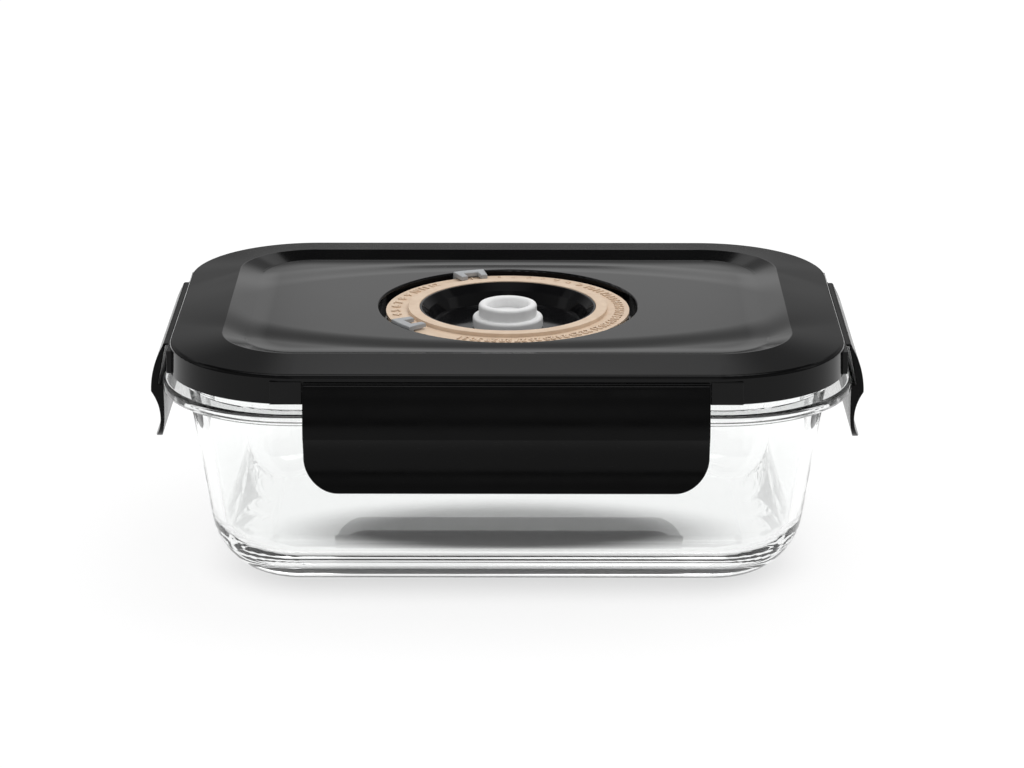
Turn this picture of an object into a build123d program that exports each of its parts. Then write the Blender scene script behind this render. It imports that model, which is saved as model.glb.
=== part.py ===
from build123d import *
import math
import os

# Rectangular glass food canister with a vacuum lid, four side latches and a date dial.
# Millimetres, +Z up. The origin is on the surface that the dish stands on, under its middle.
# X runs along the long side. The front latch is on the -Y side.

# Glass dish
FLANGE_LENGTH = 204.8
FLANGE_WIDTH = 150.2
FLANGE_CORNER = 41.0
FLANGE_UNDERSIDE = 57.5
FLANGE_THICKNESS = 3.4
FLANGE_OVERHANG = 7.15
FLANGE_EDGE_RADIUS = 1.3
LIP_INSET = 5.8
LIP_HEIGHT = 7.4
LIP_THICKNESS = 4.4
LIP_TOP_RADIUS = 1.2
WALL_TAPER_DEGREES = 9.2
CAVITY_TAPER_DEGREES = 8.1
FLOOR_THICKNESS = 8.4
BASE_ROUNDING = 20.6
CAVITY_ROUNDING = 12.5

# Lid shell
SKIRT_GAP = 1.2
SKIRT_WALL = 2.2
SKIRT_HEIGHT = 8.6
SKIRT_FLARE = 0.2
LID_EDGE_THICKNESS = 2.0
LID_EDGE_RADIUS = 1.1
RIM_WIDTH = 15.6
RIM_RISE = 1.9
RIDGE_RADIUS = 0.7
PANEL_SLOPE_WIDTH = 6.8
PANEL_DEPTH = 1.85
PANEL_FOOT_RADIUS = 3.0
LID_WALL = 2.0
PLUG_GAP = 1.2
PLUG_WALL = 1.8
PLUG_DEPTH = 5.0

# Lid gasket
GASKET_HEIGHT = 2.0
GASKET_BASE_HEIGHT = 1.2
GASKET_SIDE_GAP = 0.25
GASKET_BEAD_WIDTH = 2.2

# Date dial
DIAL_EDGE_RADIUS = 0.6
DIAL_WALL = 2.0
DIAL_FLOOR = 1.7
DIAL_GAP = 2.2
RING_WIDTH = 10.2
RING_BAND_WIDTH = 3.5
RING_BAND_STEP = 1.2
RING_THICKNESS = 1.1
RING_DROP = 0.1
RING_LIP = 1.6
RING_EDGE_RADIUS = 0.2
MOAT_DEPTH = 1.3

# Marker sliders on the dial
SLIDER_WIDTH = 9.6
SLIDER_REACH = 6.5
SLIDER_TOP_THICKNESS = 1.3
SLIDER_GAP = 0.15
SLIDER_WALL_GAP = 0.3
SLIDER_WINDOW_WIDTH = 4.4
SLIDER_WINDOW_DEPTH = 3.6
SLIDER_EDGE_RADIUS = 0.3
NUMERAL_HEIGHT = 0.45
MONTH_SLIDER_DEGREES = 214.0
DAY_SLIDER_DEGREES = 109.0

# Pump well with its seal
CUP_BODY_RADIUS = 26.0
CUP_RIM_STEP = 0.85
CUP_RIM_GAP = 0.15
CUP_RIM_DROP = 0.25
CUP_RIM_LAND = 0.5
CUP_CHAMFER_WIDTH = 1.9
CUP_CHAMFER_DEPTH = 2.3
CUP_WALL = 3.0
CUP_DEPTH = 6.45
CUP_FLOOR_THICKNESS = 1.8
CUP_BODY_GAP = 0.2
CUP_FLANGE_WIDTH = 4.5
CUP_FLANGE_THICKNESS = 1.0
CUP_FOOT_RADIUS = 1.2
SNAP_BEAD = 0.6
SNAP_BEAD_HEIGHT = 0.55
SNAP_GAP = 0.1
CUP_SEAL_THICKNESS = 0.7
CUP_SEAL_INSET = 0.3
VENT_RADIUS = 0.8
VENT_CIRCLE_RADIUS = 6.4
VENT_COUNT = 4

# Vacuum valve
VALVE_BASE_RADIUS = 10.75
VALVE_BASE_HEIGHT = 3.4
VALVE_STEP_WIDTH = 1.85
VALVE_CAP_HEIGHT = 3.8
VALVE_RIM_WIDTH = 2.55
VALVE_HOLLOW_DEPTH = 3.2
VALVE_EDGE_RADIUS = 1.0
STEM_RADIUS = 2.6
STEM_GAP = 0.08
VALVE_TRAVEL = 1.5
VALVE_STOP_GAP = 0.15
BULB_RADIUS = 3.6
BULB_HEIGHT = 2.6
BULB_TAPER = 1.4

# Latches, measured outwards from the lid's edge and down from its top
HINGE_OUT = 0.45
HINGE_DROP = 2.6
HINGE_RADIUS = 0.45
HINGE_GAP = 0.05
FILM_THICKNESS = 0.5
FRONT_LATCH_END_INSET = 3.0
SIDE_LATCH_END_INSET = 0.6
LATCH_CORNER_RADIUS = 10.0
LATCH_THICKNESS = 2.2
LATCH_TOP_OUT = 2.6
LATCH_TOP_RADIUS = 0.9
LATCH_BACK_OUT = 5.2
LATCH_BACK_DROP = 9.2
BULGE_OUT = 6.4
BULGE_DROP = 17.3
WAIST_THICKNESS = 1.35
WAIST_DROP = 24.0
TIP_OUT = 6.3
LATCH_DROP = 33.8
FINGER_THICKNESS = 2.1
HOOK_SIDE_GAP = 0.15
HOOK_TOP_GAP = 0.15
LATCH_EDGE_RADIUS = 0.35
PAD_LENGTH = 9.3
PAD_GAP = 0.3
PAD_OUT = 0.3
PAD_ROOT = 1.5
PAD_TOP_DROP = 1.8
PAD_EDGE_RADIUS = 0.2

OVERRUN = 5.0
HAIR = 0.001

# Places that follow from the sizes
FLANGE_TOP = FLANGE_UNDERSIDE + FLANGE_THICKNESS
DISH_HEIGHT = FLANGE_TOP + LIP_HEIGHT
MOUTH_INSET = LIP_INSET + LIP_THICKNESS
CHANNEL_ROOF = DISH_HEIGHT + GASKET_HEIGHT
LID_TOP = CHANNEL_ROOF + LID_EDGE_THICKNESS
SKIRT_BOTTOM = LID_TOP - SKIRT_HEIGHT
LID_INSET = LIP_INSET - SKIRT_GAP - SKIRT_WALL
RIDGE_TOP = LID_TOP + RIM_RISE
PANEL_TOP = RIDGE_TOP - PANEL_DEPTH
PANEL_UNDERSIDE = PANEL_TOP - LID_WALL
PANEL_INSET = LID_INSET + RIM_WIDTH + PANEL_SLOPE_WIDTH
CUP_RIM_RADIUS = CUP_BODY_RADIUS + CUP_RIM_STEP
CUP_FLANGE_RADIUS = CUP_BODY_RADIUS + CUP_FLANGE_WIDTH
RING_INNER_RADIUS = CUP_RIM_RADIUS + CUP_RIM_GAP
RING_OUTER_RADIUS = RING_INNER_RADIUS + RING_WIDTH
DIAL_RADIUS = RING_OUTER_RADIUS + DIAL_GAP
PLUG_INSET = MOUTH_INSET + PLUG_GAP
PLUG_BOTTOM = CHANNEL_ROOF - PLUG_DEPTH
RING_TOP = PANEL_TOP - RING_DROP
TRACK_TOP = RING_TOP - RING_BAND_STEP
RING_UNDERSIDE = TRACK_TOP - RING_THICKNESS
MOAT_FLOOR = RING_UNDERSIDE - MOAT_DEPTH
DIAL_UNDERSIDE = MOAT_FLOOR - DIAL_FLOOR
CUP_FLOOR_TOP = RING_TOP - CUP_DEPTH
CUP_UNDERSIDE = CUP_FLOOR_TOP - CUP_FLOOR_THICKNESS
CUP_SEAT = RING_UNDERSIDE - CUP_FLANGE_THICKNESS - CUP_SEAL_THICKNESS
VALVE_CAP_RADIUS = VALVE_BASE_RADIUS - VALVE_STEP_WIDTH
VALVE_HOLLOW_RADIUS = VALVE_CAP_RADIUS - VALVE_RIM_WIDTH
HINGE_HEIGHT = LID_TOP - HINGE_DROP
LID_HALF_LENGTH = FLANGE_LENGTH / 2 - LID_INSET
LID_HALF_WIDTH = FLANGE_WIDTH / 2 - LID_INSET
FRONT_LATCH_WIDTH = FLANGE_LENGTH - 2 * FLANGE_CORNER - 2 * FRONT_LATCH_END_INSET
SIDE_LATCH_WIDTH = FLANGE_WIDTH - 2 * FLANGE_CORNER - 2 * SIDE_LATCH_END_INSET
SIDE_DEGREES = {"right": 0, "rear": 90, "left": 180, "front": 270}
EDGE_OUT = {
    "right": LID_HALF_LENGTH, "rear": LID_HALF_WIDTH,
    "left": LID_HALF_LENGTH, "front": LID_HALF_WIDTH,
}
LATCH_WIDTH = {
    "right": SIDE_LATCH_WIDTH, "rear": FRONT_LATCH_WIDTH,
    "left": SIDE_LATCH_WIDTH, "front": FRONT_LATCH_WIDTH,
}


# A rounded rectangle that lies a given inset inside the flange's outline
def outline(inset, height):
    length = FLANGE_LENGTH - 2 * inset
    width = FLANGE_WIDTH - 2 * inset
    return Plane.XY.offset(height) * RectangleRounded(length, width, FLANGE_CORNER - inset)


# A straight block between two heights on that rounded rectangle
def block(inset, bottom, top):
    return extrude(outline(inset, bottom), top - bottom)


# A block whose sides lean from one inset at the bottom to another at the top
def leaning_block(inset_bottom, bottom, inset_top, top):
    return loft([outline(inset_bottom, bottom), outline(inset_top, top)], ruled=True)


# An upright cylinder between two heights at the dial's centre
def disc(radius, bottom, top):
    return Pos(0, 0, bottom) * Cylinder(radius, top - bottom, align=(Align.CENTER, Align.CENTER, Align.MIN))


# A solid turned about the dial's axis from an outline of radius and height
def turned(points, degrees=360):
    face = make_face(Plane.XZ * Polyline(*points, close=True))
    return revolve(face, Axis.Z, degrees)


# The place of one side of the lid: local X points outwards, and its zero is on the lid's edge
def side_place(side):
    return Rot(0, 0, SIDE_DEGREES[side]) * Pos(EDGE_OUT[side], 0, 0)


# A round bar along a latch's hinge line, as long as given
def hinge_bar(radius, length):
    return Pos(HINGE_OUT, 0, HINGE_HEIGHT) * Rot(90, 0, 0) * Cylinder(radius, length)


# A shape's edges that lie flat at one height
def edges_at(shape, height):
    return shape.edges().filter_by_position(Axis.Z, height - HAIR, height + HAIR)


def make_glass_dish():
    wall_sketch = outline(FLANGE_OVERHANG, FLANGE_UNDERSIDE)
    body = extrude(wall_sketch, -FLANGE_UNDERSIDE, taper=WALL_TAPER_DEGREES)
    body = fillet(edges_at(body, 0), BASE_ROUNDING)
    flange = block(0, FLANGE_UNDERSIDE, FLANGE_TOP)
    flange = fillet(edges_at(flange, FLANGE_UNDERSIDE) + edges_at(flange, FLANGE_TOP), FLANGE_EDGE_RADIUS)
    lip = block(LIP_INSET, FLANGE_TOP, DISH_HEIGHT)
    dish = body + flange + lip
    mouth = outline(MOUTH_INSET, DISH_HEIGHT)
    cavity = extrude(mouth, FLOOR_THICKNESS - DISH_HEIGHT, taper=CAVITY_TAPER_DEGREES)
    cavity = fillet(edges_at(cavity, FLOOR_THICKNESS), CAVITY_ROUNDING)
    dish = dish - cavity
    return fillet(edges_at(dish, DISH_HEIGHT), LIP_TOP_RADIUS)


# The lid's upper form: a skirt, a rim that rises to a ridge, and a panel sunk inside the ridge
def make_lid_top():
    skirt = leaning_block(LID_INSET - SKIRT_FLARE, SKIRT_BOTTOM, LID_INSET, LID_TOP)
    rim = leaning_block(LID_INSET, LID_TOP, LID_INSET + RIM_WIDTH, RIDGE_TOP)
    shell = fillet(edges_at(skirt + rim, LID_TOP), LID_EDGE_RADIUS)
    panel_cut = leaning_block(PANEL_INSET, PANEL_TOP, LID_INSET + RIM_WIDTH, RIDGE_TOP)
    panel_cut = fillet(edges_at(panel_cut, PANEL_TOP), PANEL_FOOT_RADIUS)
    shell = shell - panel_cut
    return fillet(edges_at(shell, RIDGE_TOP), RIDGE_RADIUS)


# What is open under the lid: the groove for the gasket and the dish's lip, and the space in the plug
def lid_hollow():
    groove = block(LIP_INSET - SKIRT_GAP, SKIRT_BOTTOM - OVERRUN, CHANNEL_ROOF)
    plug = block(PLUG_INSET, PLUG_BOTTOM, CHANNEL_ROOF)
    middle = block(PLUG_INSET + PLUG_WALL, PLUG_BOTTOM - OVERRUN, PANEL_UNDERSIDE)
    return groove - plug + middle


# The round recess for the date ring, with a moat for the sliders and a stepped hole for the pump well
def dial_recess():
    recess = disc(DIAL_RADIUS, RING_UNDERSIDE, PANEL_TOP + OVERRUN)
    moat = disc(DIAL_RADIUS, MOAT_FLOOR, PANEL_TOP)
    moat = moat - disc(RING_OUTER_RADIUS - RING_LIP, MOAT_FLOOR, PANEL_TOP)
    seat = disc(CUP_FLANGE_RADIUS + CUP_BODY_GAP, CUP_SEAT, PANEL_TOP)
    bore = disc(CUP_BODY_RADIUS + CUP_BODY_GAP, DIAL_UNDERSIDE - OVERRUN, PANEL_TOP)
    return recess + moat + seat + bore


# The two thick pads on the skirt beside one latch
def pads(side):
    height = LID_TOP - PAD_TOP_DROP - SKIRT_BOTTOM
    depth = PAD_OUT + SKIRT_FLARE + PAD_ROOT
    pad = Box(depth, PAD_LENGTH, height, align=(Align.MAX, Align.MIN, Align.MIN))
    pad = fillet(pad.edges().sort_by(Axis.X)[-4:], PAD_EDGE_RADIUS)
    pad = Pos(PAD_OUT + SKIRT_FLARE, LATCH_WIDTH[side] / 2 + PAD_GAP, SKIRT_BOTTOM) * pad
    return side_place(side) * (pad + mirror(pad, Plane.XZ))


# The shallow groove in the skirt that a latch's hinge bead turns in
def hinge_groove(side):
    return side_place(side) * hinge_bar(HINGE_RADIUS + HINGE_GAP, LATCH_WIDTH[side] + 2 * PAD_GAP)


def make_lid_shell():
    shell = make_lid_top() - lid_hollow()
    boss = disc(DIAL_RADIUS + DIAL_WALL, DIAL_UNDERSIDE, PANEL_TOP)
    shell = shell + boss - dial_recess()
    dial_edge = edges_at(shell, PANEL_TOP).filter_by(GeomType.CIRCLE).sort_by(SortBy.RADIUS)[-1]
    shell = fillet(dial_edge, DIAL_EDGE_RADIUS)
    for side in SIDE_DEGREES:
        shell = shell + pads(side)
    for side in SIDE_DEGREES:
        shell = shell - hinge_groove(side)
    return shell


# A silicone ring with a bead that the dish's lip presses
def make_lid_gasket():
    base_bottom = CHANNEL_ROOF - GASKET_BASE_HEIGHT
    outer_inset = LIP_INSET - SKIRT_GAP + GASKET_SIDE_GAP
    inner_inset = PLUG_INSET - GASKET_SIDE_GAP
    base = block(outer_inset, base_bottom, CHANNEL_ROOF) - block(inner_inset, base_bottom, CHANNEL_ROOF)
    middle_inset = LIP_INSET + LIP_THICKNESS / 2
    bead = block(middle_inset - GASKET_BEAD_WIDTH / 2, DISH_HEIGHT, base_bottom)
    bead = bead - block(middle_inset + GASKET_BEAD_WIDTH / 2, DISH_HEIGHT, base_bottom)
    return base + bead


# The flat ring that carries the numbers, with a smooth raised band round its inside
def make_date_ring():
    band_radius = RING_INNER_RADIUS + RING_BAND_WIDTH
    ring = disc(RING_OUTER_RADIUS, RING_UNDERSIDE, TRACK_TOP) + disc(band_radius, RING_UNDERSIDE, RING_TOP)
    ring = ring - disc(RING_INNER_RADIUS, RING_UNDERSIDE, RING_TOP)
    return fillet(edges_at(ring, RING_TOP), RING_EDGE_RADIUS)


# A marker that clips over the ring's outer lip, with a window between its two prongs
def make_slider(centre_degrees):
    outer = DIAL_RADIUS - SLIDER_WALL_GAP
    inner = outer - SLIDER_REACH
    lip = RING_OUTER_RADIUS + SLIDER_GAP
    hook = RING_OUTER_RADIUS - RING_LIP + SLIDER_WALL_GAP
    plate_bottom = TRACK_TOP + NUMERAL_HEIGHT + SLIDER_GAP
    plate_top = plate_bottom + SLIDER_TOP_THICKNESS
    hook_bottom = MOAT_FLOOR + SLIDER_GAP
    hook_top = RING_UNDERSIDE - SLIDER_GAP
    points = [(inner, plate_bottom), (lip, plate_bottom), (lip, hook_top), (hook, hook_top)]
    points += [(hook, hook_bottom), (outer, hook_bottom), (outer, plate_top), (inner, plate_top)]
    spread = 2 * math.degrees(math.asin(SLIDER_WIDTH / 2 / RING_OUTER_RADIUS))
    slider = Rot(0, 0, -spread / 2) * turned(points, spread)
    window = Box(2 * SLIDER_WINDOW_DEPTH, SLIDER_WINDOW_WIDTH, 2 * OVERRUN)
    slider = slider - Pos(inner, 0, plate_top) * window
    slider = fillet(edges_at(slider, plate_top), SLIDER_EDGE_RADIUS)
    return Rot(0, 0, centre_degrees) * slider


# The round well that a hand pump stands in, with vents under the valve
def make_valve_cup():
    rim_top = RING_TOP - CUP_RIM_DROP
    mouth_radius = CUP_RIM_RADIUS - CUP_RIM_LAND
    flange_bottom = RING_UNDERSIDE - CUP_FLANGE_THICKNESS
    bead_top = DIAL_UNDERSIDE - SNAP_GAP
    points = [(0, CUP_UNDERSIDE), (CUP_BODY_RADIUS, CUP_UNDERSIDE)]
    points += [(CUP_BODY_RADIUS, bead_top - SNAP_BEAD_HEIGHT), (CUP_BODY_RADIUS + SNAP_BEAD, bead_top)]
    points += [(CUP_BODY_RADIUS, bead_top), (CUP_BODY_RADIUS, flange_bottom)]
    points += [(CUP_FLANGE_RADIUS, flange_bottom), (CUP_FLANGE_RADIUS, RING_UNDERSIDE)]
    points += [(CUP_RIM_RADIUS, RING_UNDERSIDE), (CUP_RIM_RADIUS, rim_top), (mouth_radius, rim_top)]
    points += [(mouth_radius - CUP_CHAMFER_WIDTH, rim_top - CUP_CHAMFER_DEPTH)]
    points += [(CUP_BODY_RADIUS - CUP_WALL, CUP_FLOOR_TOP), (0, CUP_FLOOR_TOP)]
    cup = turned(points)
    cup = fillet(edges_at(cup, CUP_FLOOR_TOP), CUP_FOOT_RADIUS)
    cup = cup - disc(STEM_RADIUS + STEM_GAP, CUP_UNDERSIDE, CUP_FLOOR_TOP)
    vent = Pos(VENT_CIRCLE_RADIUS, 0, 0) * disc(VENT_RADIUS, CUP_UNDERSIDE, CUP_FLOOR_TOP)
    for index in range(VENT_COUNT):
        cup = cup - Rot(0, 0, index * 360 / VENT_COUNT) * vent
    return cup


# The flat seal between the well's flange and the lid
def make_cup_seal():
    top = CUP_SEAT + CUP_SEAL_THICKNESS
    inner_radius = CUP_BODY_RADIUS + CUP_BODY_GAP + CUP_SEAL_INSET
    return disc(CUP_FLANGE_RADIUS - CUP_SEAL_INSET, CUP_SEAT, top) - disc(inner_radius, CUP_SEAT, top)


# The soft plug that opens and closes the vents, with a stem and a bulb that keeps it in the well's floor
def make_vacuum_valve():
    shoulder = CUP_FLOOR_TOP + VALVE_BASE_HEIGHT
    top = shoulder + VALVE_CAP_HEIGHT
    bulb_top = CUP_UNDERSIDE - VALVE_TRAVEL - VALVE_STOP_GAP
    bulb_bottom = bulb_top - BULB_HEIGHT
    points = [(0, bulb_bottom), (BULB_RADIUS - BULB_TAPER, bulb_bottom), (BULB_RADIUS, bulb_top)]
    points += [(STEM_RADIUS, bulb_top), (STEM_RADIUS, CUP_FLOOR_TOP), (VALVE_BASE_RADIUS, CUP_FLOOR_TOP)]
    points += [(VALVE_BASE_RADIUS, shoulder), (VALVE_CAP_RADIUS, shoulder), (VALVE_CAP_RADIUS, top)]
    points += [(VALVE_HOLLOW_RADIUS, top), (VALVE_HOLLOW_RADIUS, top - VALVE_HOLLOW_DEPTH)]
    points += [(0, top - VALVE_HOLLOW_DEPTH)]
    valve = turned(points)
    rounded = edges_at(valve, top) + edges_at(valve, shoulder).sort_by(SortBy.RADIUS)[-1:]
    return fillet(rounded, VALVE_EDGE_RADIUS)


# A latch's section: a thin film at the hinge, a plate, a hook over a bulge, and a flared finger lip
def latch_section():
    film_top = HINGE_HEIGHT + FILM_THICKNESS / 2
    film_bottom = HINGE_HEIGHT - FILM_THICKNESS / 2
    hook_out = LID_INSET + HOOK_SIDE_GAP
    hook_top = FLANGE_UNDERSIDE - HOOK_TOP_GAP
    waist_out = hook_out + WAIST_THICKNESS
    bottom = LID_TOP - LATCH_DROP
    back_height = LID_TOP - LATCH_BACK_DROP
    waist_height = LID_TOP - WAIST_DROP
    shoulder = (LATCH_TOP_OUT, film_top - LATCH_TOP_RADIUS)
    bulge = (BULGE_OUT, LID_TOP - BULGE_DROP)
    tip = (TIP_OUT, bottom)
    inner_tip = (TIP_OUT - FINGER_THICKNESS, bottom)
    inner_waist = (hook_out, waist_height)
    hook = (hook_out, hook_top)
    ledge = (BULGE_OUT - LATCH_THICKNESS, hook_top)
    film_root = (LATCH_TOP_OUT - LATCH_TOP_RADIUS, film_top)
    inner_root = (LATCH_TOP_OUT - LATCH_TOP_RADIUS, film_bottom)
    top = Line((HINGE_OUT, film_top), film_root) + RadiusArc(film_root, shoulder, LATCH_TOP_RADIUS)
    outside = ThreePointArc(shoulder, (LATCH_BACK_OUT, back_height), bulge)
    lip = Spline(bulge, (waist_out, waist_height), tip) + Line(tip, inner_tip)
    inside = Spline(inner_tip, inner_waist, tangents=((-1, 3), (0, 1))) + Line(inner_waist, hook)
    shelf = Line(hook, ledge)
    plate = ThreePointArc(ledge, (LATCH_BACK_OUT - LATCH_THICKNESS, back_height), inner_root)
    film = Line(inner_root, (HINGE_OUT, film_bottom)) + Line((HINGE_OUT, film_bottom), (HINGE_OUT, film_top))
    return make_face(Plane.XZ * (top + outside + lip + inside + shelf + plate + film))


def make_latch(side):
    width = LATCH_WIDTH[side]
    plate = extrude(latch_section(), width / 2, both=True)
    bottom = LID_TOP - LATCH_DROP
    front_view = Box(4 * BULGE_OUT, width, LATCH_DROP, align=(Align.CENTER, Align.CENTER, Align.MIN))
    front_view = Pos(0, 0, bottom) * front_view
    corners = edges_at(front_view, bottom).filter_by(Axis.X)
    plate = plate & fillet(corners, LATCH_CORNER_RADIUS)
    least_out = LATCH_TOP_OUT - LATCH_TOP_RADIUS / 2
    outer_edges = [edge for edge in plate.edges() if edge.bounding_box().max.X > least_out]
    long_edges = [edge for edge in outer_edges if edge.length > LATCH_TOP_RADIUS]
    plate = fillet(long_edges, LATCH_EDGE_RADIUS)
    return side_place(side) * (plate + hinge_bar(HINGE_RADIUS, width))


parts = {
    "glass_dish": make_glass_dish(),
    "lid_shell": make_lid_shell(),
    "lid_gasket": make_lid_gasket(),
    "date_ring": make_date_ring(),
    "month_slider": make_slider(MONTH_SLIDER_DEGREES),
    "day_slider": make_slider(DAY_SLIDER_DEGREES),
    "valve_cup": make_valve_cup(),
    "cup_seal": make_cup_seal(),
    "vacuum_valve": make_vacuum_valve(),
}
for side in SIDE_DEGREES:
    parts[f"{side}_latch"] = make_latch(side)

os.makedirs("parts", exist_ok=True)
for name, solid in parts.items():
    export_step(solid, f"parts/{name}.step")
    print(name, round(solid.volume), "mm3", len(solid.solids()), "solid")
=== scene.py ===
# %% [markdown]
# # A glass canister with a vacuum lid
#
# This lesson dresses a imported CAD part. The part is a rectangular glass dish with a black plastic
# lid, four latches, a round date dial and a soft white valve. The CAD solids already have the
# right shapes and places, so most of the work is in the finishes, the small raised numbers and the
# light.
#
# The first step loads the imported part. It comes in as a fixed frame, and every new piece is set
# in the same metres.

# %% Load the part
import math

import bpy
from mathutils import Matrix, Vector


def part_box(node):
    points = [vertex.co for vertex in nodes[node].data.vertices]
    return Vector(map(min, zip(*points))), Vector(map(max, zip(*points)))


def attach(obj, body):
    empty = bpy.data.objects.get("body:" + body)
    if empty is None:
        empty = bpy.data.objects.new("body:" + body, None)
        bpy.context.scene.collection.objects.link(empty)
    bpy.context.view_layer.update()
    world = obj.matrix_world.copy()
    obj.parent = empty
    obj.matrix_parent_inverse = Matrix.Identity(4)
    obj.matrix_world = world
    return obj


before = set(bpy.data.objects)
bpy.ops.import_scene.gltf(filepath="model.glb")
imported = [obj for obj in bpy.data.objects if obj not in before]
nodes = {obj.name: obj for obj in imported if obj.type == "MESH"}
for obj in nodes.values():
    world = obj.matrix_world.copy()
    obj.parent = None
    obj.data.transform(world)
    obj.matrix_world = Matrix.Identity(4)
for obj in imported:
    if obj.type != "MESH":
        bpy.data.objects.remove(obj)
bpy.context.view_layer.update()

MM = 0.001
print("nodes", sorted(nodes))

# %% [markdown]
# Loading leaves all the solids selected. An operator acts on everything that is selected, so the
# selection is cleared here once, and each step that adds a piece clears it again.

# %% Clear the selection
bpy.ops.object.select_all(action="DESELECT")
print("selected", len(bpy.context.selected_objects))

# %% [markdown]
# ## Camera
#
# The photograph was taken from a little above, with a long lens. A lens of about 123 mm on a 36 mm
# sensor flattens the perspective in the same way. The camera stands about a metre off, looks down
# at 17.55 degrees, and is turned a quarter of a degree about the upright axis.

# %% Set up the camera
LENS = 123.05
SENSOR = 36.0
CAMERA_DISTANCE = 1079 * MM
CAMERA_ELEVATION = math.radians(17.55)
CAMERA_TURN = math.radians(0.24)
CAMERA_AIM = Vector((1.3 * MM, 0, 46.88 * MM))
NEAREST_SEEN = 10 * MM

turn = Matrix.Rotation(CAMERA_TURN, 3, "Z")
back = Vector((0, -math.cos(CAMERA_ELEVATION), math.sin(CAMERA_ELEVATION)))
bpy.ops.object.camera_add(location=turn @ (CAMERA_AIM + back * CAMERA_DISTANCE))
camera = bpy.context.object
camera.name = "camera"
camera.rotation_euler = (turn @ -back).to_track_quat("-Z", "Y").to_euler()
camera.data.lens = LENS
camera.data.sensor_width = SENSOR
camera.data.clip_start = NEAREST_SEEN
bpy.context.scene.camera = camera
bpy.context.scene.view_settings.view_transform = "Standard"
print("camera at", [round(value, 3) for value in camera.location])

# %% [markdown]
# ## Small tools for nodes
#
# Every finish here is built from a few nodes, so five small tools add them. The first gives the
# place of a point on the piece, in Object coordinates, which ties a pattern to the piece in real
# metres. The next two add one step of arithmetic, on numbers and on places. The fourth turns one
# range of numbers into another, with soft or straight ends. The last says how far out in an
# ellipse a place lies: 0 in its middle and 1 on its edge.

# %% Tools for nodes
def object_place(tree):
    return tree.nodes.new("ShaderNodeTexCoord").outputs["Object"]


def math_node(tree, operation, first, second=0):
    node = tree.nodes.new("ShaderNodeMath")
    node.operation = operation
    for socket, value in zip(node.inputs, (first, second)):
        if isinstance(value, (int, float)):
            socket.default_value = value
        else:
            tree.links.new(value, socket)
    return node.outputs[0]


def vector_node(tree, operation, vector, fixed=(0, 0, 0)):
    node = tree.nodes.new("ShaderNodeVectorMath")
    node.operation = operation
    tree.links.new(vector, node.inputs[0])
    node.inputs[1].default_value = fixed
    return node.outputs["Value" if operation == "LENGTH" else "Vector"]


def ramp(tree, value, start, end, low, high, soft=True):
    node = tree.nodes.new("ShaderNodeMapRange")
    node.interpolation_type = "SMOOTHSTEP" if soft else "LINEAR"
    sockets = ("From Min", "From Max", "To Min", "To Max")
    for socket, number in zip(sockets, (start, end, low, high)):
        node.inputs[socket].default_value = number
    tree.links.new(value, node.inputs["Value"])
    return node.outputs["Result"]


def ellipse_share(tree, place, half_length, half_width):
    share = vector_node(tree, "MULTIPLY", place, (1 / half_length, 1 / half_width, 0))
    return vector_node(tree, "LENGTH", share)


print("node tools ready")

# %% [markdown]
# The lid's panel and the foot of the dish are both rounded rectangles. This tool measures how far
# outside a plain rectangle a place lies. Lines of one distance round such a rectangle are rounded
# rectangles themselves.

# %% Tool for rounded rectangles
def past_rectangle(tree, half_sizes):
    outside = vector_node(tree, "ABSOLUTE", object_place(tree))
    outside = vector_node(tree, "SUBTRACT", outside, half_sizes)
    outside = vector_node(tree, "MAXIMUM", outside, (0, 0, 0))
    outside = vector_node(tree, "MULTIPLY", outside, (1, 1, 0))
    return vector_node(tree, "LENGTH", outside)


print("rectangle tool ready")

# %% [markdown]
# ## Small tools for finishes
#
# Each finish is a Principled shader with a few nodes before it. A value that is the same all over
# the piece goes straight onto the shader's own socket. Only what varies from place to place, such
# as a fine grain, comes from noise. The noise's scale is its number of patches to a metre.
#
# The noise stays mostly between 0.3 and 0.7, so that range is stretched where it sets a roughness.
# A bump is given as a field, a strength and a height, and several are laid over each other. A Mix
# node has one set of sockets for each kind of value, all with the same names, so its colour sockets
# are picked by their number.

# %% Tools for finishes
NOISE_LOW = 0.3
NOISE_HIGH = 0.7
MIX_SHARE, MIX_DARK, MIX_LIGHT, MIX_COLOUR = 0, 6, 7, 2


def new_finish(name, **sockets):
    finish = bpy.data.materials.new(name)
    finish.use_nodes = True
    shader = finish.node_tree.nodes["Principled BSDF"]
    for socket, value in sockets.items():
        shader.inputs[socket.replace("_", " ")].default_value = value
    return finish, shader


def noise_field(finish, scale, detail=2.0):
    tree = finish.node_tree
    noise = tree.nodes.new("ShaderNodeTexNoise")
    noise.inputs["Scale"].default_value = scale
    noise.inputs["Detail"].default_value = detail
    tree.links.new(object_place(tree), noise.inputs["Vector"])
    return noise.outputs["Fac"]


def vary_roughness(finish, shader, field, low, high):
    tree = finish.node_tree
    spread = ramp(tree, field, NOISE_LOW, NOISE_HIGH, low, high, soft=False)
    tree.links.new(spread, shader.inputs["Roughness"])


def tint(finish, shader, field, dark, light):
    tree = finish.node_tree
    mix = tree.nodes.new("ShaderNodeMix")
    mix.data_type = "RGBA"
    mix.inputs[MIX_DARK].default_value = (*dark, 1)
    mix.inputs[MIX_LIGHT].default_value = (*light, 1)
    tree.links.new(field, mix.inputs[MIX_SHARE])
    tree.links.new(mix.outputs[MIX_COLOUR], shader.inputs["Base Color"])


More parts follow.
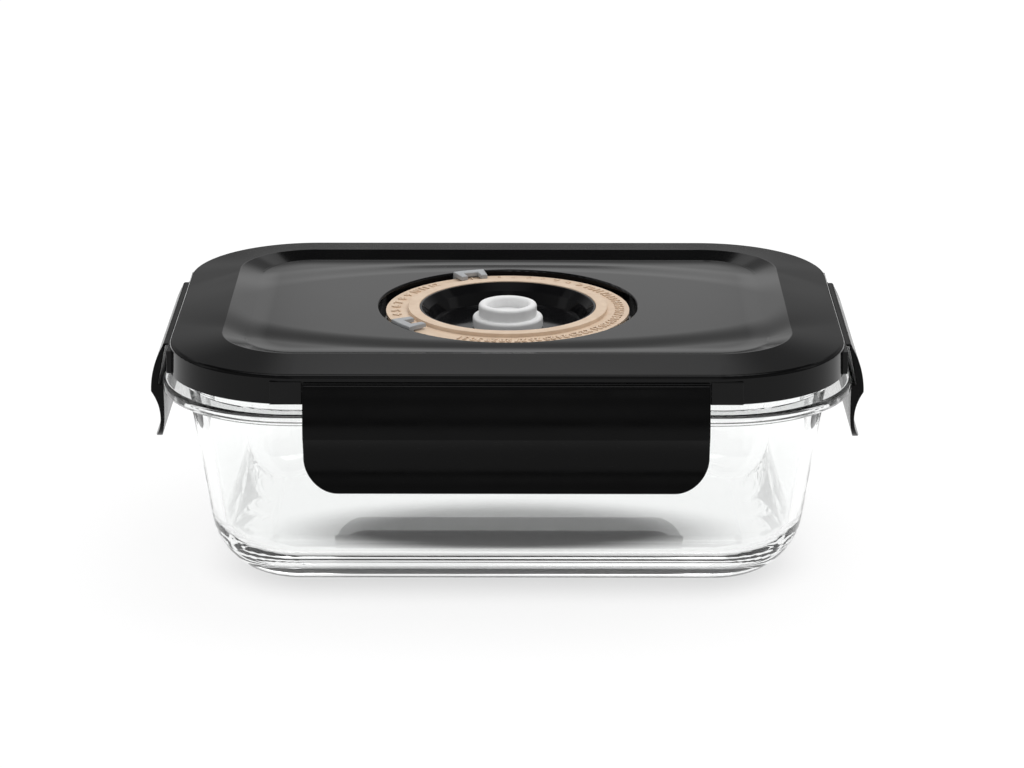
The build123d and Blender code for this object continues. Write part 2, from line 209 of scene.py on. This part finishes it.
def emboss(finish, shader, layers):
    tree = finish.node_tree
    previous = None
    for field, strength, distance in layers:
        bump = tree.nodes.new("ShaderNodeBump")
        bump.inputs["Strength"].default_value = strength
        bump.inputs["Distance"].default_value = distance
        tree.links.new(field, bump.inputs["Height"])
        if previous:
            tree.links.new(previous.outputs["Normal"], bump.inputs["Normal"])
        previous = bump
    tree.links.new(previous.outputs["Normal"], shader.inputs["Normal"])


def dress(finish, *names):
    for name in names:
        piece = nodes[name]
        piece.data.materials.clear()
        piece.data.materials.append(finish)
    print(finish.name, "on", ", ".join(names))


print("finish tools ready")

# %% [markdown]
# ## Clear glass
#
# Light turns back inside thick glass many times before it leaves. A renderer stops following a ray
# after a few turns and counts the rest as black, which would fill the base and the corners with
# dark patches, so more turns are allowed first.

# %% Turns inside the glass
MOST_TURNS = 32
GLASS_TURNS = 24
cycles = bpy.context.scene.cycles
cycles.max_bounces = MOST_TURNS
cycles.glossy_bounces = GLASS_TURNS
cycles.transmission_bounces = GLASS_TURNS
print("turns inside glass", GLASS_TURNS)

# %% [markdown]
# The dish is pressed from clear glass. Pressed glass is never perfectly flat: the mould leaves
# long, shallow waves that make the reflections swim a little. A very weak noise in the bump gives
# that. The dish casts no shadow, because real clear glass passes nearly all of the light on, and a
# renderer would otherwise put a solid dark patch under it.

# %% Clear glass
glass, glass_shader = new_finish("clear_glass", Roughness=0.0, IOR=1.5, Transmission_Weight=1.0)
glass_tone = noise_field(glass, 9)
waves = noise_field(glass, 20, detail=1)
tint(glass, glass_shader, glass_tone, (0.985, 0.995, 0.99), (0.995, 1.0, 0.998))
emboss(glass, glass_shader, [(waves, 0.015, 0.15 * MM)])
dress(glass, "glass_dish")
nodes["glass_dish"].visible_shadow = False

# %% [markdown]
# ## Rise and cove of the lid's panel
#
# The panel rises by a fraction of a millimetre towards the dial at the front and back, and its
# cove runs into it in one soft curve. The solid is flat there and has a plain crease at the cove's
# foot. Two bumps give the rise and the curve. The first is a low plateau with an oval edge. The
# second bends the last few millimetres of the panel up towards the cove's wall, and leaves the
# wall as it is.

# %% Rise and cove
CROWN = 0.7 * MM
CROWN_HALF_LENGTH = 110 * MM
CROWN_HALF_WIDTH = 50 * MM
CROWN_FLAT_SHARE = 0.75
COVE_FOOT_HALF = (61.4 * MM, 34.1 * MM, 0)
COVE_FOOT_CORNER = 16.2 * MM
COVE_BLEND = 6 * MM
COVE_LIFT = 0.36 * MM


def crown_field(finish):
    tree = finish.node_tree
    share = ellipse_share(tree, object_place(tree), CROWN_HALF_LENGTH, CROWN_HALF_WIDTH)
    return ramp(tree, share, CROWN_FLAT_SHARE, 1.0, 1.0, 0.0)


def cove_field(finish):
    tree = finish.node_tree
    reach = past_rectangle(tree, COVE_FOOT_HALF)
    blend_start = COVE_FOOT_CORNER - COVE_BLEND
    near = ramp(tree, reach, blend_start, COVE_FOOT_CORNER, 0.0, 1.0, soft=False)
    return math_node(tree, "MULTIPLY", near, near)


print("panel rises", CROWN / MM, "mm, cove bends up", COVE_LIFT / MM, "mm")

# %% [markdown]
# ## Black lid plastic
#
# The lid is moulded in black polypropylene. Its top is polished in the mould, but softer than
# gloss: it mirrors a bright surround as a dim grey sheen with no sharp image. The shader has a low
# specular level, a little roughness that wanders over the surface, and two more bumps. One is the
# fine grain of the mould, the other the slight sinking that thick plastic shows as it cools.

# %% Black lid plastic
lid_black, lid_shader = new_finish("lid_black", Specular_IOR_Level=0.16)
lid_tone = noise_field(lid_black, 60)
lid_polish = noise_field(lid_black, 45, detail=4)
tint(lid_black, lid_shader, lid_tone, (0.0025, 0.0025, 0.0027), (0.0045, 0.0045, 0.0047))
vary_roughness(lid_black, lid_shader, lid_polish, 0.07, 0.11)
lid_bumps = [
    (noise_field(lid_black, 2600, detail=3), 0.04, 0.04 * MM),
    (noise_field(lid_black, 18, detail=1), 0.05, 0.5 * MM),
    (crown_field(lid_black), 1.0, CROWN),
    (cove_field(lid_black), 1.0, COVE_LIFT),
]
emboss(lid_black, lid_shader, lid_bumps)
dress(lid_black, "lid_shell")

# %% [markdown]
# The latches are the same plastic from another mould. Face on they mirror almost nothing and look
# deep black, and only where light grazes them do they shine, with a coarser grain in it.

# %% Black latch plastic
latch_black, latch_shader = new_finish("latch_black", Specular_IOR_Level=0.1)
latch_tone = noise_field(latch_black, 80)
latch_polish = noise_field(latch_black, 90, detail=4)
tint(latch_black, latch_shader, latch_tone, (0.0015, 0.0015, 0.0016), (0.003, 0.003, 0.0032))
vary_roughness(latch_black, latch_shader, latch_polish, 0.18, 0.27)
latch_bumps = [
    (noise_field(latch_black, 1500, detail=3), 0.12, 0.08 * MM),
    (noise_field(latch_black, 30, detail=1), 0.05, 0.5 * MM),
]
emboss(latch_black, latch_shader, latch_bumps)
dress(latch_black, "front_latch", "rear_latch", "left_latch", "right_latch")

# %% [markdown]
# ## Silicone seals
#
# Both seals are grey silicone. Silicone is matt, but it holds a soft bloom at its edges, which a
# little sheen gives.

# %% Silicone seals
seal_grey, seal_shader = new_finish("seal_grey", Roughness=0.55, Sheen_Weight=0.15)
seal_tone = noise_field(seal_grey, 120)
seal_grain = noise_field(seal_grey, 1800)
tint(seal_grey, seal_shader, seal_tone, (0.55, 0.56, 0.56), (0.64, 0.65, 0.65))
emboss(seal_grey, seal_shader, [(seal_grain, 0.1, 0.05 * MM)])
dress(seal_grey, "lid_gasket", "cup_seal")

# %% [markdown]
# ## Tan date ring
#
# The ring is a warm tan plastic with a fine matt texture. Its colour wanders slightly, as a
# pigmented plastic does, and its grain is coarse enough to sparkle a little in a raking light.

# %% Tan date ring
ring_tan, ring_shader = new_finish("ring_tan", Specular_IOR_Level=0.4)
ring_tone = noise_field(ring_tan, 300, detail=3)
ring_grain = noise_field(ring_tan, 1600, detail=3)
tint(ring_tan, ring_shader, ring_tone, (0.56, 0.41, 0.29), (0.74, 0.59, 0.45))
vary_roughness(ring_tan, ring_shader, noise_field(ring_tan, 500), 0.36, 0.5)
emboss(ring_tan, ring_shader, [(ring_grain, 0.2, 0.06 * MM)])
dress(ring_tan, "date_ring")

# %% [markdown]
# ## Raised numbers
#
# The ring carries plain raised numbers that the sliders point at: 1 to 12 for the months, and 1 to
# 31 for the days. Both rows run clockwise and start under their slider. Each number is a text that
# is made a mesh, turned so that its top points outwards, and sunk a little into the ring.

# %% One raised number
NUMBER_SIZE = 3.9 * MM
NUMBER_RADIUS = 34.1 * MM
NUMBER_THICKNESS = 0.44 * MM
NUMBER_BEVEL = 0.04 * MM
NUMBER_SINK = 0.06 * MM
NUMBER_CURVE_STEPS = 3
BAND_STEP = 1.2 * MM
ring_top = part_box("date_ring")[1][2]
number_middle = ring_top - BAND_STEP - NUMBER_SINK + NUMBER_THICKNESS / 2


def raised_number(value, degrees):
    bpy.ops.object.select_all(action="DESELECT")
    bpy.ops.object.text_add()
    number = bpy.context.object
    number.data.body = str(value)
    number.data.align_x = "CENTER"
    number.data.align_y = "CENTER"
    number.data.size = NUMBER_SIZE
    number.data.extrude = NUMBER_THICKNESS / 2 - NUMBER_BEVEL
    number.data.bevel_depth = NUMBER_BEVEL
    number.data.resolution_u = NUMBER_CURVE_STEPS
    bpy.ops.object.convert(target="MESH")
    number = bpy.context.object
    angle = math.radians(degrees)
    across, along = NUMBER_RADIUS * math.cos(angle), NUMBER_RADIUS * math.sin(angle)
    number.location = (across, along, number_middle)
    number.rotation_euler = (0, 0, angle - math.pi / 2)
    bpy.ops.object.transform_apply(location=True, rotation=True, scale=True)
    return number


print("numbers stand", round((number_middle + NUMBER_THICKNESS / 2) / MM, 2), "mm high")

# %% [markdown]
# A row is joined into one piece. It rides on the lid, as the ring does, and takes the ring's
# finish, because both are moulded in one.

# %% Rows of numbers
NUMBER_STEP_DEGREES = 7.4
FIRST_MONTH_DEGREES = 214.0
FIRST_DAY_DEGREES = 109.0
MONTHS = 12
DAYS = 31


def number_row(name, first_degrees, count):
    row = []
    for value in range(count):
        row.append(raised_number(value + 1, first_degrees - value * NUMBER_STEP_DEGREES))
    bpy.ops.object.select_all(action="DESELECT")
    for number in row:
        number.select_set(True)
    bpy.context.view_layer.objects.active = row[0]
    bpy.ops.object.join()
    joined = bpy.context.object
    joined.name = name
    joined.data.materials.clear()
    joined.data.materials.append(ring_tan)
    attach(joined, "lid")
    print(name, count, "numbers,", len(joined.data.polygons), "faces")


number_row("month_numbers", FIRST_MONTH_DEGREES, MONTHS)
number_row("day_numbers", FIRST_DAY_DEGREES, DAYS)

# %% [markdown]
# ## Grey sliders
#
# The two sliders are light grey plastic that is smooth to the thumb.

# %% Grey sliders
slider_grey, slider_shader = new_finish("slider_grey")
slider_tone = noise_field(slider_grey, 400)
slider_grain = noise_field(slider_grey, 2400)
tint(slider_grey, slider_shader, slider_tone, (0.30, 0.31, 0.32), (0.38, 0.39, 0.40))
vary_roughness(slider_grey, slider_shader, noise_field(slider_grey, 250), 0.3, 0.42)
emboss(slider_grey, slider_shader, [(slider_grain, 0.08, 0.04 * MM)])
dress(slider_grey, "month_slider", "day_slider")

# %% [markdown]
# ## Glossy pump well
#
# The cup inside the ring is polished black plastic. A hand pump has to seal against it, so it is
# the shiniest part of the lid, and mirrors the white valve.

# %% Glossy pump well
well_black, well_shader = new_finish("well_black", Specular_IOR_Level=0.12)
well_tone = noise_field(well_black, 100)
well_polish = noise_field(well_black, 160, detail=3)
well_sink = noise_field(well_black, 40, detail=1)
tint(well_black, well_shader, well_tone, (0.004, 0.004, 0.0045), (0.007, 0.007, 0.0075))
vary_roughness(well_black, well_shader, well_polish, 0.05, 0.1)
emboss(well_black, well_shader, [(well_sink, 0.04, 0.4 * MM)])
dress(well_black, "valve_cup")

# %% [markdown]
# ## White valve
#
# The valve is soft white silicone. Light enters a little way and comes out again, so its shadows
# stay pale. A small subsurface weight does that.

# %% White valve
valve_white, valve_shader = new_finish(
    "valve_white",
    Roughness=0.42,
    Subsurface_Weight=0.15,
    Subsurface_Radius=(1, 1, 1),
    Subsurface_Scale=1.2 * MM,
)
valve_tone = noise_field(valve_white, 150)
valve_grain = noise_field(valve_white, 1500)
tint(valve_white, valve_shader, valve_tone, (0.74, 0.74, 0.74), (0.82, 0.82, 0.82))
emboss(valve_white, valve_shader, [(valve_grain, 0.05, 0.05 * MM)])
dress(valve_white, "vacuum_valve")

# %% [markdown]
# ## Floor
#
# The floor is a matt plane that takes the real shadow. It lies a hair below the dish, so that the
# glass keeps both faces of its base. They mirror the rear latch.

# %% Floor plane
FLOOR_SIZE = 8.0
FLOOR_GAP = 0.2 * MM
bpy.ops.object.select_all(action="DESELECT")
bpy.ops.mesh.primitive_plane_add(size=FLOOR_SIZE, location=(0, 0, -FLOOR_GAP))
floor = bpy.context.object
floor.name = "floor"
print("floor", FLOOR_SIZE, "m wide")

# %% [markdown]
# The photograph has a pure white surround that keeps only a soft, narrow shadow under the dish.
# What the camera, a reflection or the glass sees of the floor gets a light of its own, so that it
# reaches white away from the dish.
#
# Under the dish that light is dimmed by place, a painted shadow for the black lid's shade. Seen
# plainly, the painted shadow is slight and narrow round the base. Seen through the glass, it is
# deep.

# %% Painted shadow in the floor's own light
# These sizes place a painted shadow in the floor's own light, round the foot and under the dish.
FOOT_HALF = (56 * MM, 29 * MM, 0)
FOOT_ROUND = 12 * MM
FOOT_FADE_START = FOOT_ROUND + 2 * MM
FOOT_FADE_END = FOOT_ROUND + 28 * MM
FOOT_SHADOW_LEVEL = 0.76
DARK_HALF_LENGTH = 80 * MM
DARK_HALF_WIDTH = 36 * MM
DARK_SHIFT = (0, 18 * MM, 0)
DARK_FLAT_SHARE = 0.5
FADE_SHARE, FADE_PLAIN, FADE_THROUGH_GLASS = 0, 2, 3


def seen_directly(tree):
    path = tree.nodes.new("ShaderNodeLightPath")
    mirrored = path.outputs["Is Glossy Ray"]
    first = math_node(tree, "MAXIMUM", path.outputs["Is Camera Ray"], mirrored)
    return math_node(tree, "MAXIMUM", first, path.outputs["Is Transmission Ray"])


def floor_fade(tree):
    # Painted contact shadow: seen plainly, the floor's light dims near the base of the dish.
    painted_contact_shadow = ramp(
        tree, past_rectangle(tree, FOOT_HALF), FOOT_FADE_START, FOOT_FADE_END, FOOT_SHADOW_LEVEL, 1.0
    )
    # Painted shadow under the dish: seen through the glass, the floor's light goes to nothing in an
    # oval.
    shifted = vector_node(tree, "ADD", object_place(tree), DARK_SHIFT)
    share = ellipse_share(tree, shifted, DARK_HALF_LENGTH, DARK_HALF_WIDTH)
    painted_shadow_under_lid = ramp(tree, share, DARK_FLAT_SHARE, 1.0, 0.0, 1.0)
    fade = tree.nodes.new("ShaderNodeMix")
    path = tree.nodes.new("ShaderNodeLightPath")
    tree.links.new(path.outputs["Is Transmission Ray"], fade.inputs[FADE_SHARE])
    tree.links.new(painted_contact_shadow, fade.inputs[FADE_PLAIN])
    tree.links.new(painted_shadow_under_lid, fade.inputs[FADE_THROUGH_GLASS])
    return fade.outputs[0]


print("fade ends", round(FOOT_FADE_END / MM), "mm past the foot")

# %% [markdown]
# The floor's finish adds that light, with its painted shadow, to a plain matt grey. The grey is
# dark, so that the real shadow in it stays faint beside the light.

# %% Floor finish
FLOOR_ALBEDO = 0.15
FLOOR_LIFT = 0.88
pale = bpy.data.materials.new("pale_floor_painted_shadow")
pale.use_nodes = True
tree = pale.node_tree
tree.nodes.remove(tree.nodes["Principled BSDF"])
matt = tree.nodes.new("ShaderNodeBsdfDiffuse")
matt.inputs["Color"].default_value = (FLOOR_ALBEDO, FLOOR_ALBEDO, FLOOR_ALBEDO, 1)
lift = tree.nodes.new("ShaderNodeEmission")
# The floor's light, darkened by the painted shadow.
glow = math_node(tree, "MULTIPLY", floor_fade(tree), FLOOR_LIFT)
glow = math_node(tree, "MULTIPLY", glow, seen_directly(tree))
tree.links.new(glow, lift.inputs["Strength"])
together = tree.nodes.new("ShaderNodeAddShader")
tree.links.new(matt.outputs[0], together.inputs[0])
tree.links.new(lift.outputs[0], together.inputs[1])
tree.links.new(together.outputs[0], tree.nodes["Material Output"].inputs["Surface"])
floor.data.materials.append(pale)
print("floor finish", pale.name)

# %% [markdown]
# ## Surround
#
# The world is white to whatever sees it directly, and lights the object a little less than that.

# %% World
WORLD_LIGHT = 0.75
world = bpy.data.worlds.new("white_surround")
bpy.context.scene.world = world
world.use_nodes = True
tree = world.node_tree
surround = tree.nodes["Background"]
surround.inputs["Color"].default_value = (1, 1, 1, 1)
level = ramp(tree, seen_directly(tree), 0, 1, WORLD_LIGHT, 1.0, soft=False)
tree.links.new(level, surround.inputs["Strength"])
print("world light", WORLD_LIGHT)

# %% [markdown]
# ## Lamp
#
# A large soft box hangs over the canister, a little behind it and to the right. Its own image is
# kept out of the mirrors, because the ceiling card below gives a softer one.

# %% Lamp
LAMP_PLACE = Vector((0.35, 0.45, 1.25))
LAMP_SIZE = (1.3, 0.9)
LAMP_POWER = 9
bpy.ops.object.light_add(type="AREA", location=LAMP_PLACE)
lamp = bpy.context.object
lamp.name = "overhead_box"
lamp.data.shape = "RECTANGLE"
lamp.data.size, lamp.data.size_y = LAMP_SIZE
lamp.data.energy = LAMP_POWER
lamp.rotation_euler = (-LAMP_PLACE).to_track_quat("-Z", "Y").to_euler()
lamp.visible_glossy = False
print(lamp.name, LAMP_POWER, "W")

# %% [markdown]
# ## Cards
#
# Photographers stand cards round a glass or black object, so that it mirrors only what they
# choose. Here a round wall of card and a ceiling do that. Only reflections see them, so they show
# as mirror images and light nothing else.

# %% Tools for cards
CARD_RADIUS = 1.7
CARD_HEIGHT = 1.5
CARD_SIDES = 128


def only_mirrored(card):
    card.visible_camera = False
    card.visible_diffuse = False
    card.visible_shadow = False
    card.visible_transmission = False


def card_finish(card, name):
    finish = bpy.data.materials.new(name)
    finish.use_nodes = True
    tree = finish.node_tree
    tree.nodes.remove(tree.nodes["Principled BSDF"])
    glow = tree.nodes.new("ShaderNodeEmission")
    tree.links.new(glow.outputs[0], tree.nodes["Material Output"].inputs["Surface"])
    card.data.materials.append(finish)
    return tree, glow


print("cards", CARD_HEIGHT, "m high,", CARD_RADIUS, "m round")

# %% [markdown]
# The wall is an open cylinder that stands on the floor. Its place goes into its mesh, so that a
# point's height in Object coordinates is its height above the floor.

# %% Card wall
bpy.ops.object.select_all(action="DESELECT")
bpy.ops.mesh.primitive_cylinder_add(
    vertices=CARD_SIDES,
    radius=CARD_RADIUS,
    depth=CARD_HEIGHT,
    end_fill_type="NOTHING",
    location=(0, 0, CARD_HEIGHT / 2),
)
wall = bpy.context.object
wall.name = "card_wall"
bpy.ops.object.transform_apply(location=True)
only_mirrored(wall)
print(wall.name, len(wall.data.polygons), "sides")

# %% [markdown]
# The wall is dark near the floor, pale from there up to where the panel of the lid mirrors it, and
# darker again where the lid's front rim does. Each level below is a share of the height and a
# brightness. The stops of the colour ramp start anywhere, and are then placed in order.
#
# The wall is also greyer beside its four pale middles. In a middle, a place is a whole radius off
# across or along. Between two middles both distances are less.

# %% Brightness of the card wall
WALL_LEVELS = [
    (0.0, 0.06), (0.06, 0.13), (0.16, 0.42), (0.26, 0.80), (0.42, 0.80),
    (0.6, 0.42), (0.74, 0.47), (0.82, 1.0), (1.0, 1.0),
]
ANYWHERE = 0.5
MIDDLE_EDGE = 0.984
MIDDLE_FULL = 0.997
BESIDE_MIDDLES = 0.42


def middles_field(tree, place):
    across = math_node(tree, "ABSOLUTE", place.outputs["X"])
    along = math_node(tree, "ABSOLUTE", place.outputs["Y"])
    furthest = math_node(tree, "MAXIMUM", across, along)
    facing = math_node(tree, "DIVIDE", furthest, CARD_RADIUS)
    return ramp(tree, facing, MIDDLE_EDGE, MIDDLE_FULL, BESIDE_MIDDLES, 1.0)


tree, wall_glow = card_finish(wall, "wall_card")
place = tree.nodes.new("ShaderNodeSeparateXYZ")
tree.links.new(object_place(tree), place.inputs[0])
height = math_node(tree, "DIVIDE", place.outputs["Z"], CARD_HEIGHT)
levels = tree.nodes.new("ShaderNodeValToRGB")
stops = levels.color_ramp.elements
while len(stops) < len(WALL_LEVELS):
    stops.new(ANYWHERE)
for stop, (position, grey) in zip(stops, WALL_LEVELS):
    stop.position = position
    stop.color = (grey, grey, grey, 1)
tree.links.new(height, levels.inputs[0])
tree.links.new(levels.outputs["Color"], wall_glow.inputs["Color"])
tree.links.new(middles_field(tree, place), wall_glow.inputs["Strength"])
print("wall levels", len(WALL_LEVELS))

# %% [markdown]
# The ceiling is black round its edge, which the steep wall of the lid's cove mirrors as a black
# band. Its middle is bright, as a soft box would be, so that the lid's forms also show from above.

# %% Card ceiling
CEILING_MIDDLE = 2.0
CEILING_EDGE = 0.03
CEILING_FADE_START = 0.2
CEILING_FADE_END = 1.0
bpy.ops.object.select_all(action="DESELECT")
bpy.ops.mesh.primitive_circle_add(
    vertices=CARD_SIDES, radius=CARD_RADIUS, fill_type="NGON", location=(0, 0, CARD_HEIGHT)
)
ceiling = bpy.context.object
ceiling.name = "card_ceiling"
only_mirrored(ceiling)
tree, ceiling_glow = card_finish(ceiling, "ceiling_card")
from_centre = vector_node(tree, "LENGTH", object_place(tree))
ceiling_level = ramp(
    tree, from_centre, CEILING_FADE_START, CEILING_FADE_END, CEILING_MIDDLE, CEILING_EDGE
)
tree.links.new(ceiling_level, ceiling_glow.inputs["Strength"])
print("ceiling from", CEILING_MIDDLE, "to", CEILING_EDGE)
